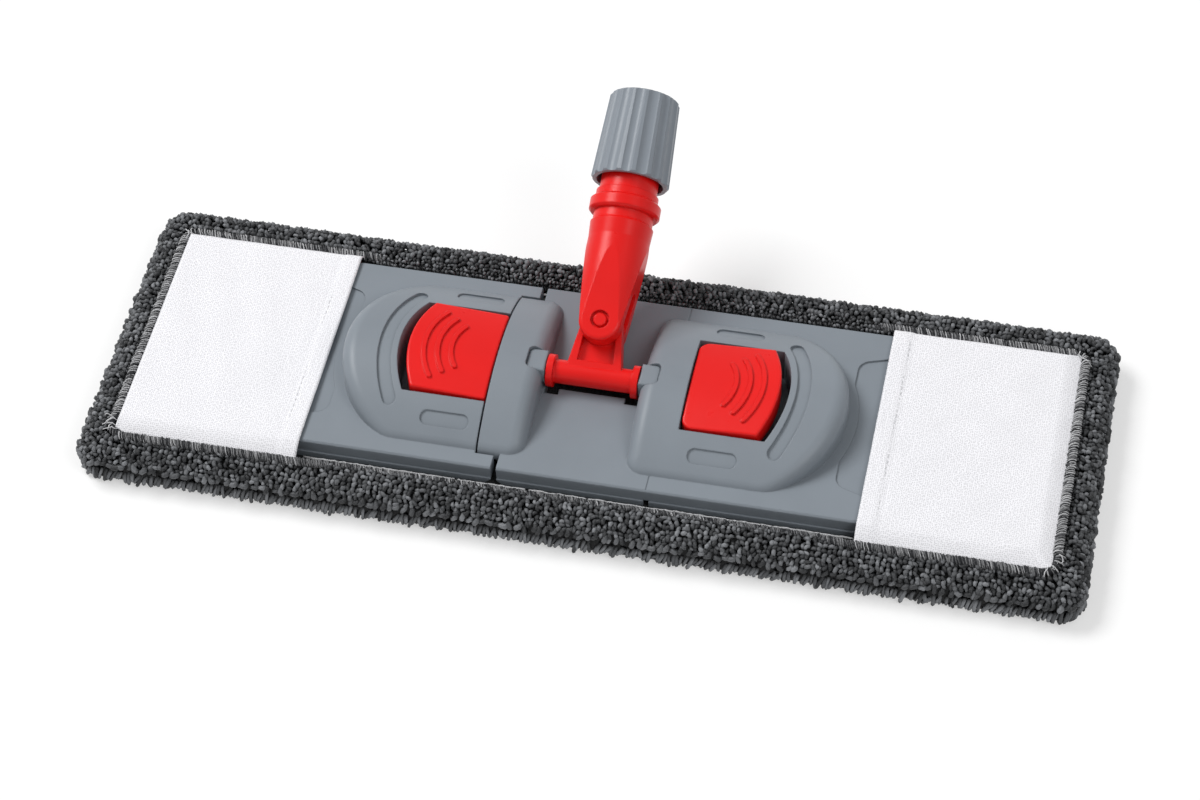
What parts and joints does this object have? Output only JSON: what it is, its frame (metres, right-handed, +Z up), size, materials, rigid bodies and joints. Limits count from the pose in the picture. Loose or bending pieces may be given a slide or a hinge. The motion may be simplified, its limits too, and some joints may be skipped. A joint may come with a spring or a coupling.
{
  "type": "floor mop",
  "caption": "Flat pocket mop: folding grey plastic frame with red foot pedals, tilting and swinging handle socket with clamp nut, in a charcoal loop-pile pad with white pockets.",
  "frame": {"origin": "on the floor under the pad, below the middle of the tilt barrel", "axes": "+X along the mop to the wing that doesn't fold, +Y to the rear, where the handle leans, +Z up"},
  "size_m": [0.444, 0.2004, 0.0953],
  "materials": {
    "grey_plastic": "satin moulded",
    "red_plastic": "satin moulded",
    "steel": "plain drawn",
    "magnet": "nickel plated",
    "loop_pile": "cut-free loop pile",
    "pocket_cloth": "fine woven"
  },
  "bodies": {
    "frame": {"main_housing": "grey_plastic", "left_axle_stub": "grey_plastic", "right_axle_stub": "grey_plastic", "fold_pin": "steel", "latch_plates": "steel", "right_pedal_axle": "steel", "right_pedal_spring": "steel", "mop_pad_right": "loop_pile", "mop_pad_fold": "loop_pile", "right_pocket": "pocket_cloth"},
    "left_wing": {"left_housing": "grey_plastic", "left_pedal_axle": "steel", "left_pedal_spring": "steel", "latch_magnets": "magnet", "mop_pad_left": "loop_pile", "left_pocket": "pocket_cloth"},
    "left_pedal": {"left_pedal": "red_plastic"},
    "right_pedal": {"right_pedal": "red_plastic"},
    "tee": {"joint_tee": "red_plastic"},
    "handle": {"handle_socket": "red_plastic", "swing_pin": "red_plastic"},
    "nut": {"clamp_nut": "grey_plastic"}
  },
  "joints": [
    {"name": "wing_fold", "type": "hinge", "parent": "frame", "child": "left_wing", "pos_m": [-0.0335, 0, 0.0147], "axis": [0, -1, 0], "range_deg": [0, 90], "deforming": ["mop_pad_fold"]},
    {"name": "right_pedal_press", "type": "hinge", "parent": "frame", "child": "right_pedal", "pos_m": [0.0511, 0, 0.027], "axis": [0, 1, 0], "range_deg": [0, 10], "stiffness_Nm_per_rad": 1.2, "springref_deg": -8.59, "deforming": ["right_pedal_spring"]},
    {"name": "left_pedal_press", "type": "hinge", "parent": "left_wing", "child": "left_pedal", "pos_m": [-0.0511, 0, 0.027], "axis": [0, -1, 0], "range_deg": [0, 10], "stiffness_Nm_per_rad": 1.2, "springref_deg": -8.59, "deforming": ["left_pedal_spring"]},
    {"name": "handle_tilt", "type": "hinge", "parent": "frame", "child": "tee", "pos_m": [0, 0, 0.0288], "axis": [1, 0, 0], "range_deg": [0, 132.2]},
    {"name": "handle_swing", "type": "hinge", "parent": "tee", "child": "handle", "pos_m": [0, 0.02058, 0.0379], "axis": [0, -0.4044, 0.9146], "range_deg": [-50, 50]},
    {"name": "nut_turn", "type": "hinge", "parent": "handle", "child": "nut", "pos_m": [0, 0.1006, 0.07329], "axis": [0, 0.9146, 0.4044], "range_deg": [0, 270]}
  ]
}
